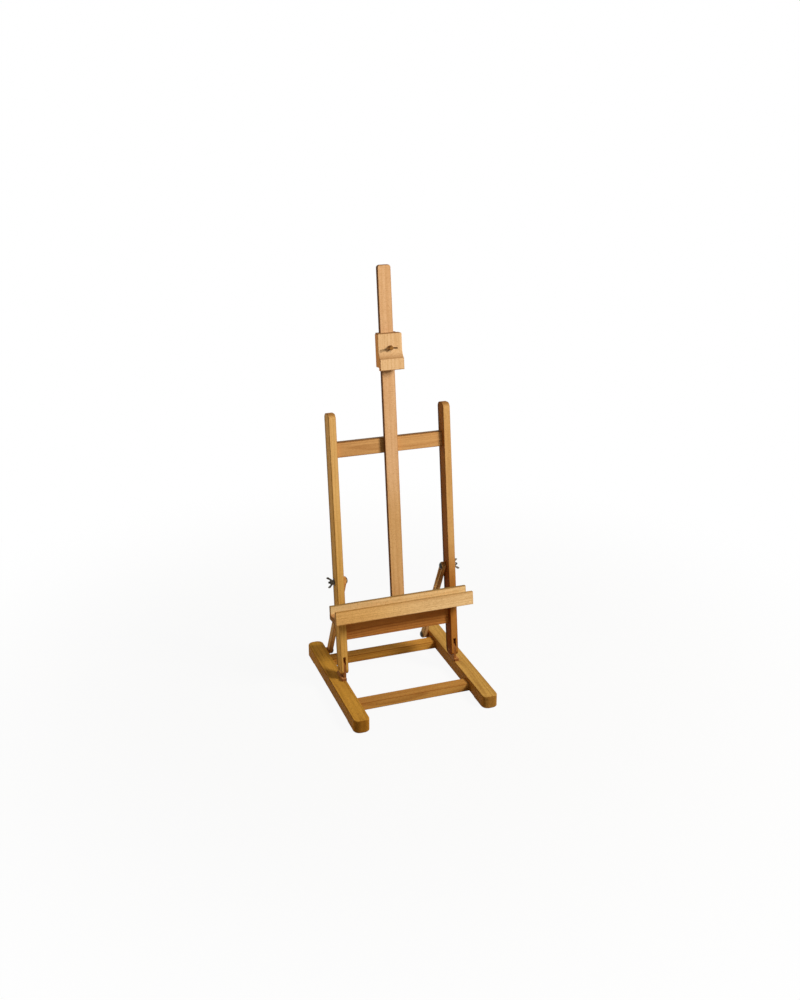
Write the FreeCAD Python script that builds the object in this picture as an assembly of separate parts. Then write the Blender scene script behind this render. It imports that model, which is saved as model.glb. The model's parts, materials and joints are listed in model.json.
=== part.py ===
import FreeCAD, Part
import math
import os

# A table easel: flat base frame, leaning H panel with mast, tray and top clamp, two slotted struts.
# Millimetres. X runs across, Y from the front to the back, Z up. The origin is the middle of the
# footprint, on the surface that the easel stands on. The left half mirrors the right half.

Vec = FreeCAD.Vector

# --- base frame ---
base_depth = 400.0             # length of a runner, front to back
runner_width = 38.0
runner_height = 30.0
runner_corner_radius = 15.0    # rounding of a runner's ends, seen from above
runner_edge_radius = 2.5
runner_foot_chamfer = 1.0
foot_pad_length = 58.0         # the stretch at each end of a runner that touches the table
foot_relief = 2.5              # how far the rest of the base clears the table
rail_width = 28.0
rail_height = 19.0
rail_edge_radius = 1.6
front_rail_setback = 86.0      # from a runner's front end to the front rail
rear_rail_setback = 62.0       # from a runner's rear end to the rear rail
rail_dowel_spacing = 14.0      # between the two dowels of a joint
rail_dowel_length = 40.0

# --- leaning panel ---
panel_clear_width = 264.0      # between the uprights
upright_width = 18.0
upright_depth = 36.0
upright_length = 620.0         # from the hinge pin to the top
upright_top_radius = 12.0
upright_edge_radius = 1.8
lean_angle = 7.0               # degrees from the vertical, as it stands
cross_board_thickness = 18.0
crossbar_height = 36.0
crossbar_rise = 514.0          # from the hinge pin to its lower edge
crossbar_dowel_spacing = 18.0
lower_rail_height = 78.0
lower_rail_rise = 70.0
lower_rail_dowel_spacing = 26.0
board_edge_radius = 1.4
board_dowel_length = 28.0
board_dowel_depth = 11.0       # how far that dowel enters an upright
mast_width = 32.0
mast_thickness = 12.0
mast_foot_rise = 124.0
mast_top_rise = 954.0
mast_corner_radius = 7.0
mast_screw_spacing = 17.0      # between two screws side by side

# --- hinge at the foot of each upright ---
hinge_setback = 204.0          # from a runner's front end to the hinge pin
hinge_rise = 24.0              # from a runner's top to the hinge pin
hinge_pin_diameter = 8.0
tongue_thickness = 6.0
tongue_side_play = 0.3
tongue_length = 34.0           # front to back
tongue_top_rise = 24.0         # from the pin to the tongue's rounded top
tongue_crown_play = 9.0        # from the tongue's top to the end of the fork's slot
fork_foot_drop = 11.0          # from the pin down to the end of the fork
hinge_block_length = 44.0
hinge_block_height = 7.0
hinge_block_edge_radius = 1.4
tenon_width = 7.0
tenon_length = 28.0
tenon_depth = 18.0

# --- tray ---
tray_length = 344.0
tray_rise = 133.0              # from the hinge pin to the underside of the tray
tray_trough_depth = 37.0       # clear depth between the back and front boards
tray_floor_thickness = 12.0
tray_back_height = 21.0        # above the tray's floor
tray_back_thickness = 8.0
tray_front_height = 32.0       # whole height of the front board
tray_front_thickness = 8.0
tray_edge_radius = 1.2
tray_dowel_diameter = 5.0
tray_dowel_length = 14.0
tray_dowel_spacing = 115.0
tray_dowel_shift = 16.0        # sideways, between the front board's dowels and the back board's
tray_dowel_skin = 3.0          # wood left in front of a dowel in the front board
tray_screw_depth = 20.0        # how far a tray screw enters an upright
tray_pellet_diameter = 10.0    # wooden pellet over the head of a tray screw
tray_pellet_depth = 2.5

# --- struts ---
strut_width = 18.0
strut_thickness = 10.0
strut_edge_chamfer = 0.8
strut_pivot_setback = 35.0     # from a runner's rear end to the strut's lower bolt
strut_pivot_height = 18.0      # from the table to the strut's lower bolt
strut_spacer_thickness = 6.0
strut_gap = 0.3                # between a strut and what it slides past
strut_slot_play = 1.5          # each side of the bolt, across the slot
strut_slot_end_play = 1.0
tilt_bolt_rise = 214.0         # along the upright, from the hinge pin
tilt_bolt_setback = 6.0        # behind the middle of the upright's side
tilt_travel = 33.0             # degrees that the panel leans back from rest

# --- bolts, nuts, washers, screws and dowels ---
bolt_diameter = 6.0
running_play = 0.06            # clearance on the radius where a piece turns or slides on another
bolt_head_diameter = 13.0
bolt_head_height = 2.8
pivot_bolt_depth = 24.0        # how far a strut's lower bolt enters the runner
stud_overhang = 4.0            # bolt end beyond its wing nut
washer_diameter = 16.0
washer_thickness = 1.2
nut_base_diameter = 12.0
nut_top_diameter = 9.2
nut_hub_height = 9.0
nut_wing_span = 27.0
nut_wing_height = 16.0
nut_wing_thickness = 2.4
nut_wing_step = 0.8            # from the hub's flat ends to the roots of the wings
nut_lobe_radius = 2.8
tilt_nut_turn = 34.0           # degrees that a tilt nut's upper wing leans to the back
dowel_diameter = 8.0
glue_play = 0.05               # on the radius of a glued dowel or a screw
blind_end_play = 1.0
screw_diameter = 4.0
screw_head_diameter = 8.0
mast_screw_depth = 9.0         # how far a screw enters the mast, from behind or in front

# --- top clamp ---
clamp_width = 58.5
clamp_rise = 714.0             # from the hinge pin to the lip's lower edge
clamp_height = 84.0
clamp_face_thickness = 20.0    # from the mast's face to the block's face
clamp_lip_reach = 30.5         # from the mast's face to the front of the lip
clamp_lip_height = 26.0
clamp_lip_thickness = 10.0
clamp_rebate = 6.5             # how far the lip hangs below the block
clamp_cove_height = 22.0
clamp_corner_radius = 3.0
clamp_edge_radius = 1.4
clamp_play = 0.3               # between the clamp and the mast
clamp_cheek_width = 6.5        # of the wood at each side of the mast
clamp_keeper_thickness = 4.0
clamp_screw_rise = 51.0        # from the lip's lower edge to the wing screw
clamp_screw_stand_off = 1.2    # from the block's face to the screw's hub
clamp_insert_diameter = 10.0
clamp_insert_length = 13.0
keeper_screw_diameter = 3.0
keeper_screw_head_diameter = 6.0
keeper_screw_length = 26.0
keeper_screw_inset = 13.0      # from the keeper's upper and lower edges

# --- places that follow from the sizes above ---
front_end = -base_depth / 2
rear_end = base_depth / 2
upright_inner = panel_clear_width / 2
upright_middle = upright_inner + upright_width / 2
upright_outer = upright_inner + upright_width
runner_inner = upright_inner + strut_spacer_thickness
runner_outer = runner_inner + runner_width
hinge_y = front_end + hinge_setback
hinge_z = runner_height + hinge_rise
hinge_block_middle = (runner_inner + upright_outer) / 2
strut_y = rear_end - strut_pivot_setback
strut_z = strut_pivot_height
strut_outer = upright_inner - strut_gap
strut_inner = strut_outer - strut_thickness
strut_washer_outer = strut_inner - strut_gap
strut_washer_inner = strut_washer_outer - washer_thickness
bolt_radius = bolt_diameter / 2
bolt_hole_radius = bolt_radius + running_play
# In the panel's own frame y is 0 in the middle of an upright's side and z is 0 at the hinge pin.
panel_face = -upright_depth / 2
mast_rear = panel_face + mast_thickness
cross_board_rear = mast_rear + cross_board_thickness
tray_floor_top = tray_rise + tray_floor_thickness
trough_rear = panel_face - tray_back_thickness
trough_front = trough_rear - tray_trough_depth
tray_face = trough_front - tray_front_thickness
clamp_bottom = clamp_rise + clamp_rebate
clamp_top = clamp_rise + clamp_height
clamp_face = panel_face - clamp_face_thickness
clamp_lip_face = panel_face - clamp_lip_reach
clamp_lip_top = clamp_rise + clamp_lip_height
clamp_seat = panel_face - clamp_play
clamp_back = mast_rear + clamp_play
cheek_inner = mast_width / 2 + clamp_play
cheek_outer = cheek_inner + clamp_cheek_width
keeper_back = clamp_back + clamp_keeper_thickness
clamp_screw_z = clamp_rise + clamp_screw_rise

past = 1.0                     # how far a cut runs beyond the face it opens
near = 0.01                    # how close counts as the same place
made = {}


# ---------------------------------------------------------------- shapes

def box(x0, x1, y0, y1, z0, z1):
    return Part.makeBox(x1 - x0, y1 - y0, z1 - z0, Vec(x0, y0, z0))


def rod(radius, start, end):
    run = Vec(*end) - Vec(*start)
    return Part.makeCylinder(radius, run.Length, Vec(*start), run)


def cross_rod(radius, x0, x1, y, z):
    return rod(radius, (x0, y, z), (x1, y, z))


def outline_face(points):
    """Flat face in a closed outline. After the word arc come a point on it and its end."""
    edges = []
    here = Vec(*points[0])
    rest = points[1:] + [points[0]]
    while rest:
        step = rest.pop(0)
        if step == "arc":
            middle = Vec(*rest.pop(0))
            there = Vec(*rest.pop(0))
            edges.append(Part.Arc(here, middle, there).toShape())
        else:
            there = Vec(*step)
            edges.append(Part.LineSegment(here, there).toShape())
        here = there
    return Part.Face(Part.Wire(edges))


def prism(points, depth):
    """Closed outline extruded by a vector."""
    return outline_face(points).extrude(Vec(*depth))


def rounded_side(x, y0, y1, z0, z1, foot_radius, top_radius):
    """Outline in the YZ plane, with rounded corners at its foot and at its top."""
    a = foot_radius
    b = top_radius
    c = a * (1 - math.sqrt(0.5))
    d = b * (1 - math.sqrt(0.5))
    return [(x, y0 + a, z0), (x, y1 - a, z0),
            "arc", (x, y1 - c, z0 + c), (x, y1, z0 + a), (x, y1, z1 - b),
            "arc", (x, y1 - d, z1 - d), (x, y1 - b, z1), (x, y0 + b, z1),
            "arc", (x, y0 + d, z1 - d), (x, y0, z1 - b), (x, y0, z0 + a),
            "arc", (x, y0 + c, z0 + c)]


def stadium(x, half, low, high, thickness):
    """Upright flat bar with half-round ends about the heights low and high."""
    return prism([(x, -half, low), "arc", (x, 0, low - half), (x, half, low), (x, half, high),
                  "arc", (x, 0, high + half), (x, -half, high)], (thickness, 0, 0))


def runs_along(edge, axis):
    """True for a straight edge along one of the axes x, y and z."""
    if not isinstance(edge.Curve, (Part.Line, Part.LineSegment)):
        return False
    run = edge.Vertexes[-1].Point - edge.Vertexes[0].Point
    return abs(abs(getattr(run, axis)) - run.Length) < near


def ease(solid, radius, wanted):
    """Round the edges that wanted(edge) picks."""
    return solid.makeFillet(radius, [edge for edge in solid.Edges if wanted(edge)])


def dowel_hole(radius, start, end):
    """Hole for a dowel between two points, with glue play around it and at its ends."""
    way = (Vec(*end) - Vec(*start)).normalize() * blind_end_play
    return rod(radius + glue_play, Vec(*start) - way, Vec(*end) + way)


def screw(diameter, head_diameter, start, end):
    """Countersunk screw from the middle of its flat head to its tip."""
    start = Vec(*start)
    end = Vec(*end)
    way = (end - start).normalize()
    head_depth = (head_diameter - diameter) / 2
    neck = start + way * head_depth
    head = Part.makeCone(head_diameter / 2, diameter / 2, head_depth, start, way)
    shank = Part.makeCylinder(diameter / 2, (end - neck).Length, neck, way)
    return head.fuse(shank).removeSplitter()


def screw_hole(diameter, head_diameter, start, end):
    """Countersunk hole for that screw."""
    start = Vec(*start)
    end = Vec(*end)
    way = (end - start).normalize()
    head_depth = (head_diameter - diameter) / 2
    head = Part.makeCone(head_diameter / 2 + glue_play, diameter / 2 + glue_play, head_depth, start, way)
    shank = Part.makeCylinder(diameter / 2 + glue_play, (end - start).Length + blind_end_play, start, way)
    return head.fuse(shank)


def mirrored(solid):
    return solid.mirror(Vec(0, 0, 0), Vec(1, 0, 0))


def both_sides(solids):
    return solids + [mirrored(solid) for solid in solids]


def lean(solid):
    """Take a piece from the panel's own frame to its place on the base."""
    solid = solid.copy()
    solid.rotate(Vec(0, 0, 0), Vec(1, 0, 0), -lean_angle)
    solid.translate(Vec(0, hinge_y, hinge_z))
    return solid


def keep(name, *solids):
    """Write one node. Several solids stay a group of separate solids."""
    shape = solids[0] if len(solids) == 1 else Part.makeCompound(list(solids))
    made[name] = shape
    shape.exportStep("parts/" + name + ".step")


def keep_pair(name, right):
    keep(name + "_right", right)
    keep(name + "_left", mirrored(right))


# ---------------------------------------------------------------- base frame

def rail_places():
    """Front and rear faces of the two base rails."""
    front = front_end + front_rail_setback
    rear = rear_end - rear_rail_setback
    return {"front": (front, front + rail_width), "rear": (rear - rail_width, rear)}


def rail_dowel_ends():
    """Ends of the dowels between the right runner and the base rails."""
    ends = []
    z = foot_relief + rail_height / 2
    x0 = runner_inner - rail_dowel_length / 2
    x1 = runner_inner + rail_dowel_length / 2
    for front, rear in rail_places().values():
        for side in (-1, 1):
            y = (front + rear + side * rail_dowel_spacing) / 2
            ends.append(((x0, y, z), (x1, y, z)))
    return ends


def rail_dowel_holes():
    return [dowel_hole(dowel_diameter / 2, *ends) for ends in rail_dowel_ends()]


def runner():
    x0 = runner_inner
    x1 = runner_outer
    r = runner_corner_radius
    k = r * (1 - math.sqrt(0.5))
    plan = [(x0 + r, front_end, 0), (x1 - r, front_end, 0),
            "arc", (x1 - k, front_end + k, 0), (x1, front_end + r, 0), (x1, rear_end - r, 0),
            "arc", (x1 - k, rear_end - k, 0), (x1 - r, rear_end, 0), (x0 + r, rear_end, 0),
            "arc", (x0 + k, rear_end - k, 0), (x0, rear_end - r, 0), (x0, front_end + r, 0),
            "arc", (x0 + k, front_end + k, 0)]
    body = prism(plan, (0, 0, runner_height))
    body = ease(body, runner_edge_radius, lambda edge: edge.BoundBox.ZMin > runner_height - near)
    soles = [edge for edge in body.Edges if edge.BoundBox.ZMax < near]
    body = body.makeChamfer(runner_foot_chamfer, soles)
    arch = box(x0 - past, x1 + past, front_end + foot_pad_length, rear_end - foot_pad_length,
               -past, foot_relief)
    bolt = cross_rod(bolt_radius + glue_play, x0 - past, x0 + pivot_bolt_depth + blind_end_play,
                     strut_y, strut_z)
    return body.cut([arch, bolt, tenon(glue_play, blind_end_play)] + rail_dowel_holes())


def base_rail(front, rear):
    rail = box(-runner_inner, runner_inner, front, rear, foot_relief, foot_relief + rail_height)
    rail = ease(rail, rail_edge_radius, lambda edge: runs_along(edge, "x"))
    return rail.cut(both_sides(rail_dowel_holes()))


def rail_dowels():
    return both_sides([rod(dowel_diameter / 2, *ends) for ends in rail_dowel_ends()])


# ---------------------------------------------------------------- hinge at the foot

def tenon(side_play, end_play):
    """Tenon under the hinge block, or its mortise where there is play."""
    x = tenon_width / 2 + side_play
    y = tenon_length / 2 + side_play
    return box(hinge_block_middle - x, hinge_block_middle + x, hinge_y - y, hinge_y + y,
               runner_height - tenon_depth - end_play, runner_height)


def tongue():
    """Round-topped tongue, from the block up into the fork."""
    x = upright_middle - tongue_thickness / 2
    r = tongue_length / 2
    crown = hinge_z + tongue_top_rise
    return prism([(x, hinge_y - r, runner_height), (x, hinge_y - r, crown - r),
                  "arc", (x, hinge_y, crown), (x, hinge_y + r, crown - r),
                  (x, hinge_y + r, runner_height)], (tongue_thickness, 0, 0))


def hinge_block():
    top = runner_height + hinge_block_height
    foot = box(runner_inner, upright_outer, hinge_y - hinge_block_length / 2,
               hinge_y + hinge_block_length / 2, runner_height, top)
    foot = ease(foot, hinge_block_edge_radius,
                lambda edge: edge.BoundBox.ZMin > top - near or runs_along(edge, "z"))
    body = foot.fuse([tongue(), tenon(0, 0)]).removeSplitter()
    bore_radius = hinge_pin_diameter / 2 + running_play
    return body.cut(cross_rod(bore_radius, upright_inner, upright_outer, hinge_y, hinge_z))


def hinge_pin():
    return cross_rod(hinge_pin_diameter / 2, upright_inner, upright_outer, 0, 0)


# ---------------------------------------------------------------- leaning panel

def board_dowel_ends():
    """Ends of the dowels that join the crossbar and the lower rail to the right upright."""
    y = (mast_rear + cross_board_rear) / 2
    crossbar_middle = crossbar_rise + crossbar_height / 2
    lower_rail_middle = lower_rail_rise + lower_rail_height / 2
    heights = [crossbar_middle + side * crossbar_dowel_spacing / 2 for side in (-1, 1)]
    heights += [lower_rail_middle + step * lower_rail_dowel_spacing for step in (-1, 0, 1)]
    end = upright_inner + board_dowel_depth
    return [((end - board_dowel_length, y, z), (end, y, z)) for z in heights]


def board_dowel_holes():
    return [dowel_hole(dowel_diameter / 2, *ends) for ends in board_dowel_ends()]


def panel_dowels():
    return both_sides([lean(rod(dowel_diameter / 2, *ends)) for ends in board_dowel_ends()])


def upright():
    """Right upright: domed top, forked foot, and holes for the pin, the tilt bolt and the joints."""
    side = rounded_side(upright_inner, panel_face, -panel_face, -fork_foot_drop, upright_length,
                        fork_foot_drop, upright_top_radius)
    body = prism(side, (upright_width, 0, 0))
    body = ease(body, upright_edge_radius, lambda edge: not runs_along(edge, "x"))
    half_slot = tongue_thickness / 2 + tongue_side_play
    fork = box(upright_middle - half_slot, upright_middle + half_slot, panel_face - past, past - panel_face,
               -fork_foot_drop - past, tongue_top_rise + tongue_crown_play)
    pin_hole = cross_rod(hinge_pin_diameter / 2 + glue_play, upright_inner - past, upright_outer + past,
                         0, 0)
    bolt_hole = cross_rod(bolt_hole_radius, upright_inner - past, upright_outer + past,
                          tilt_bolt_setback, tilt_bolt_rise)
    return body.cut([fork, pin_hole, bolt_hole] + board_dowel_holes() + tray_screw_holes())


def cross_board(rise, height):
    """Board between the uprights, set back by the mast's thickness."""
    board = box(-upright_inner, upright_inner, mast_rear, cross_board_rear, rise, rise + height)
    board = ease(board, board_edge_radius, lambda edge: runs_along(edge, "x"))
    return board.cut(both_sides(board_dowel_holes()) + mast_screw_holes())


def mast():
    half = mast_width / 2
    body = box(-half, half, panel_face, mast_rear, mast_foot_rise, mast_top_rise)
    body = ease(body, mast_corner_radius,
                lambda edge: runs_along(edge, "y") and edge.BoundBox.ZMin > mast_top_rise - near)
    body = ease(body, board_edge_radius,
                lambda edge: edge.BoundBox.YLength < near and edge.BoundBox.ZMax > mast_foot_rise + near)
    return body.cut(mast_screw_holes() + tray_screw_holes())


def mast_screw_ends():
    """Screws from behind: two through the crossbar, two through the top of the lower rail."""
    low = (mast_foot_rise + lower_rail_rise + lower_rail_height) / 2
    high = crossbar_rise + crossbar_height / 2
    return [((side * mast_screw_spacing / 2, cross_board_rear, z),
             (side * mast_screw_spacing / 2, mast_rear - mast_screw_depth, z))
            for z in (low, high) for side in (-1, 1)]


def mast_screw_holes():
    return [screw_hole(screw_diameter, screw_head_diameter, *ends) for ends in mast_screw_ends()]


def mast_screws():
    return [lean(screw(screw_diameter, screw_head_diameter, *ends)) for ends in mast_screw_ends()]


# ---------------------------------------------------------------- tray

def tray_screw_ends():
    """Screws through the tray's back board into the mast and both uprights."""
    head = trough_rear + tray_pellet_depth
    z = tray_floor_top + tray_back_height / 2
    depths = {-upright_middle: tray_screw_depth, 0: mast_screw_depth, upright_middle: tray_screw_depth}
    return [((x, head, z), (x, panel_face + depth, z)) for x, depth in depths.items()]


def tray_screw_holes():
    return [screw_hole(screw_diameter, screw_head_diameter, *ends) for ends in tray_screw_ends()]


def tray_screws():
    return [lean(screw(screw_diameter, screw_head_diameter, *ends)) for ends in tray_screw_ends()]


def tray_pellets(play, front):
    """Pellets over the heads of the tray screws, or the holes for them, from a given front."""
    radius = tray_pellet_diameter / 2 + play
    return [rod(radius, (x, front, z), (x, y, z)) for (x, y, z), tip in tray_screw_ends()]


def tray_dowel_ends():
    """Dowels from the floor forward into the front board, and up into the back board."""
    ends = []
    tip = tray_face + tray_dowel_skin
    middle = tray_rise + tray_floor_thickness / 2
    back_y = (panel_face + trough_rear) / 2
    half = tray_dowel_length / 2
    for step in (-1, 0, 1):
        x = step * tray_dowel_spacing
        ends.append(((x, tip + tray_dowel_length, middle), (x, tip, middle)))
        x += tray_dowel_shift
        ends.append(((x, back_y, tray_floor_top - half), (x, back_y, tray_floor_top + half)))
    return ends


def tray_dowel_holes():
    return [dowel_hole(tray_dowel_diameter / 2, *ends) for ends in tray_dowel_ends()]


def tray_dowels():
    return [lean(rod(tray_dowel_diameter / 2, *ends)) for ends in tray_dowel_ends()]


def tray_board(front, rear, bottom, top, eased):
    """One of the tray's boards, with the edges that eased(edge) picks rounded."""
    board = box(-tray_length / 2, tray_length / 2, front, rear, bottom, top)
    board = ease(board, tray_edge_radius, eased)
    pellet_holes = tray_pellets(glue_play, trough_rear - past)
    return board.cut(tray_screw_holes() + pellet_holes + tray_dowel_holes())


def tray_floor():
    return tray_board(trough_front, panel_face, tray_rise, tray_floor_top,
                      lambda edge: runs_along(edge, "x") and edge.BoundBox.YMin > panel_face - near
                      and edge.BoundBox.ZMax < tray_rise + near)


def tray_back():
    top = tray_floor_top + tray_back_height
    return tray_board(trough_rear, panel_face, tray_floor_top, top,
                      lambda edge: edge.BoundBox.ZMin > top - near or runs_along(edge, "z"))


def tray_front():
    top = tray_rise + tray_front_height
    return tray_board(tray_face, trough_front, tray_rise, top,
                      lambda edge: edge.BoundBox.ZMin > top - near or edge.BoundBox.YMax < tray_face + near)


# ---------------------------------------------------------------- struts

def strut_reach(tilt):
    """Distance and forward lean, in degrees, from a strut's lower bolt to the tilt bolt."""
    turn = math.radians(lean_angle + tilt)
    along = tilt_bolt_rise * math.sin(turn) + tilt_bolt_setback * math.cos(turn)
    up = tilt_bolt_rise * math.cos(turn) - tilt_bolt_setback * math.sin(turn)
    forward = strut_y - hinge_y - along
    above = hinge_z + up - strut_z
    return math.hypot(forward, above), math.degrees(math.atan2(forward, above))


def strut():
    """Slotted strut, made upright on its lower bolt and then leant forward onto the tilt bolt."""
    long_reach, angle = strut_reach(0)
    short_reach, steep_angle = strut_reach(tilt_travel)
    slot_top = long_reach + strut_slot_end_play
    slot_foot = short_reach - strut_slot_end_play
    body = stadium(strut_inner, strut_width / 2, 0, slot_top, strut_thickness)
    rims = [edge for edge in body.Edges if edge.BoundBox.XLength < near]
    body = body.makeChamfer(strut_edge_chamfer, rims)
    slot = stadium(strut_inner - past, bolt_radius + strut_slot_play, slot_foot, slot_top,
                   strut_thickness + 2 * past)
    body = body.cut([slot, cross_rod(bolt_hole_radius, strut_inner - past, strut_outer + past, 0, 0)])
    body.rotate(Vec(0, 0, 0), Vec(1, 0, 0), angle)
    body.translate(Vec(0, strut_y, strut_z))
    print("strut leans", round(angle, 3), "at rest and", round(steep_angle, 3), "with the panel tilted")
    return body


# ---------------------------------------------------------------- bolts, washers and wing nuts

def washer(x0, x1, y, z):
    hole = cross_rod(bolt_hole_radius, x0 - past, x1 + past, y, z)
    return cross_rod(washer_diameter / 2, x0, x1, y, z).cut(hole)


def wing(side):
    """One wing: a round lobe with a web that narrows to the hub, in the XZ plane."""
    half = nut_wing_thickness / 2
    x = side * (nut_wing_span / 2 - nut_lobe_radius)
    z = nut_wing_height - nut_lobe_radius
    lobe = rod(nut_lobe_radius, (x, -half, z), (x, half, z))
    reach = math.hypot(x, z)
    across = -side * nut_lobe_radius * z / reach
    up = side * nut_lobe_radius * x / reach
    root = side * (bolt_radius + nut_top_diameter / 2) / 2
    web = prism([(root, -half, nut_wing_step), (root, -half, nut_hub_height - nut_wing_step),
                 (x + across, -half, z + up), (x - across, -half, z - up)], (0, nut_wing_thickness, 0))
    return lobe.fuse(web)


def winged_hub():
    """Tapered hub with two wings, standing on its base with its axis along Z."""
    hub = Part.makeCone(nut_base_diameter / 2, nut_top_diameter / 2, nut_hub_height)
    return hub.fuse([wing(1), wing(-1)]).removeSplitter()


def tilt_nut():
    """Wing nut outside the upright, with its wings up and down and turned a little."""
    nut = winged_hub().cut(rod(bolt_hole_radius, (0, 0, -past), (0, 0, nut_hub_height + past)))
    nut.rotate(Vec(0, 0, 0), Vec(0, 1, 0), 90)
    nut.rotate(Vec(0, 0, 0), Vec(1, 0, 0), -tilt_nut_turn)
    nut.translate(Vec(upright_outer + washer_thickness, tilt_bolt_setback, tilt_bolt_rise))
    return nut


def domed_bolt(end, y, z):
    """Round-headed bolt turned about its axis, from the strut's inner side out to a given end."""
    r = bolt_head_diameter / 2
    h = bolt_head_height
    seat = strut_washer_inner
    dome_radius = (r * r + h * h) / (2 * h)
    half_turn = math.asin(r / dome_radius) / 2
    middle = (seat - h + dome_radius * (1 - math.cos(half_turn)), y, z + dome_radius * math.sin(half_turn))
    half_side = outline_face([(seat - h, y, z), "arc", middle, (seat, y, z + r), (seat, y, z + bolt_radius),
                            (end, y, z + bolt_radius), (end, y, z)])
    return half_side.revolve(Vec(seat, y, z), Vec(1, 0, 0), 360)


def tilt_bolt():
    end = upright_outer + washer_thickness + nut_hub_height + stud_overhang
    return domed_bolt(end, tilt_bolt_setback, tilt_bolt_rise)


def tilt_washers():
    return [washer(strut_washer_inner, strut_washer_outer, tilt_bolt_setback, tilt_bolt_rise),
            washer(upright_outer, upright_outer + washer_thickness, tilt_bolt_setback, tilt_bolt_rise)]


def strut_pivot_bolt():
    return domed_bolt(runner_inner + pivot_bolt_depth, strut_y, strut_z)


# ---------------------------------------------------------------- top clamp

def clamp_side():
    """Side outline of the clamp block, with the cove above its lip and the rebate behind the lip."""
    x = -clamp_width / 2
    rise = clamp_cove_height
    run = clamp_face - clamp_lip_face
    turn = 2 * math.atan2(run, rise)
    radius = rise / math.sin(turn)
    cove_top = clamp_lip_top + rise
    middle = (x, clamp_face - radius * (1 - math.cos(turn / 2)), cove_top - radius * math.sin(turn / 2))
    lip_rear = clamp_lip_face + clamp_lip_thickness
    return [(x, clamp_seat, clamp_bottom), (x, clamp_seat, clamp_top), (x, clamp_face, clamp_top),
            (x, clamp_face, cove_top), "arc", middle, (x, clamp_lip_face, clamp_lip_top),
            (x, clamp_lip_face, clamp_rise), (x, lip_rear, clamp_rise), (x, lip_rear, clamp_bottom)]


def on_clamp_front(edge):
    """True for the outer edges of the block's face, cove and lip."""
    on_lip = edge.BoundBox.YMax < clamp_lip_face + near
    at_side = abs(abs(edge.BoundBox.Center.x) - clamp_width / 2) < near
    above_lip = edge.BoundBox.ZMin > clamp_lip_top - near
    return on_lip or (at_side and above_lip and edge.BoundBox.YMax < clamp_face + near)


def clamp_block():
    body = prism(clamp_side(), (clamp_width, 0, 0))
    body = ease(body, clamp_corner_radius,
                lambda edge: runs_along(edge, "y") and edge.BoundBox.ZMin > clamp_top - near)
    body = ease(body, clamp_edge_radius, on_clamp_front)
    insert_hole = rod(clamp_insert_diameter / 2 + glue_play, (0, clamp_face - past, clamp_screw_z),
                      (0, clamp_face + clamp_insert_length, clamp_screw_z))
    screw_bore = rod(bolt_hole_radius, (0, clamp_face, clamp_screw_z),
                     (0, clamp_seat + past, clamp_screw_z))
    return body.cut([insert_hole, screw_bore] + keeper_screw_holes())


def clamp_cheek():
    """Strip beside the mast, between the block and the keeper."""
    strip = box(cheek_inner, cheek_outer, clamp_seat, clamp_back, clamp_bottom, clamp_top)
    return strip.cut(keeper_screw_holes())


def clamp_keeper():
    board = box(-cheek_outer, cheek_outer, clamp_back, keeper_back, clamp_bottom, clamp_top)
    board = ease(board, clamp_edge_radius, lambda edge: edge.BoundBox.YMin > keeper_back - near)
    return board.cut(keeper_screw_holes())


def keeper_screw_sizes():
    """Diameter, head diameter and ends of four screws from behind, through the cheeks."""
    x = (cheek_inner + cheek_outer) / 2
    heights = (clamp_bottom + keeper_screw_inset, clamp_top - keeper_screw_inset)
    return [(keeper_screw_diameter, keeper_screw_head_diameter,
             (side * x, keeper_back, z), (side * x, keeper_back - keeper_screw_length, z))
            for z in heights for side in (-1, 1)]


def keeper_screw_holes():
    return [screw_hole(*sizes) for sizes in keeper_screw_sizes()]


def keeper_screws():
    return [lean(screw(*sizes)) for sizes in keeper_screw_sizes()]


def clamp_insert():
    """Threaded ring let into the block's face."""
    front = (0, clamp_face, clamp_screw_z)
    rear = (0, clamp_face + clamp_insert_length, clamp_screw_z)
    return rod(clamp_insert_diameter / 2, front, rear).cut(rod(bolt_hole_radius, front, rear))


def clamp_screw():
    """Wing screw: its hub stands off the block and its tip bears on the mast."""
    hub_foot = clamp_face - clamp_screw_stand_off
    hub = winged_hub()
    hub.rotate(Vec(0, 0, 0), Vec(1, 0, 0), 90)
    hub.translate(Vec(0, hub_foot, clamp_screw_z))
    tip = panel_face - clamp_play / 2
    shank = rod(bolt_radius, (0, hub_foot, clamp_screw_z), (0, tip, clamp_screw_z))
    return hub.fuse(shank).removeSplitter()


# ---------------------------------------------------------------- write every node

def make_base():
    keep_pair("runner", runner())
    for name, faces in rail_places().items():
        keep("base_rail_" + name, base_rail(*faces))
    keep("base_dowels", *rail_dowels())
    keep_pair("hinge_block", hinge_block())
    keep("strut_pivot_bolts", *both_sides([strut_pivot_bolt()]))
    spacer = washer(upright_inner, runner_inner, strut_y, strut_z)
    ring = washer(strut_washer_inner, strut_washer_outer, strut_y, strut_z)
    keep("strut_spacers", *both_sides([spacer]))
    keep("strut_pivot_washers", *both_sides([ring]))


def make_panel():
    keep_pair("upright", lean(upright()))
    keep("hinge_pins", *both_sides([lean(hinge_pin())]))
    keep("crossbar", lean(cross_board(crossbar_rise, crossbar_height)))
    keep("lower_rail", lean(cross_board(lower_rail_rise, lower_rail_height)))
    keep("panel_dowels", *panel_dowels())
    keep("mast", lean(mast()))
    keep("mast_screws", *mast_screws())


def make_tray():
    keep("tray_floor", lean(tray_floor()))
    keep("tray_back", lean(tray_back()))
    keep("tray_front", lean(tray_front()))
    keep("tray_dowels", *tray_dowels())
    keep("tray_screws", *tray_screws())
    keep("tray_pellets", *[lean(pellet) for pellet in tray_pellets(0, trough_rear)])


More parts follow.
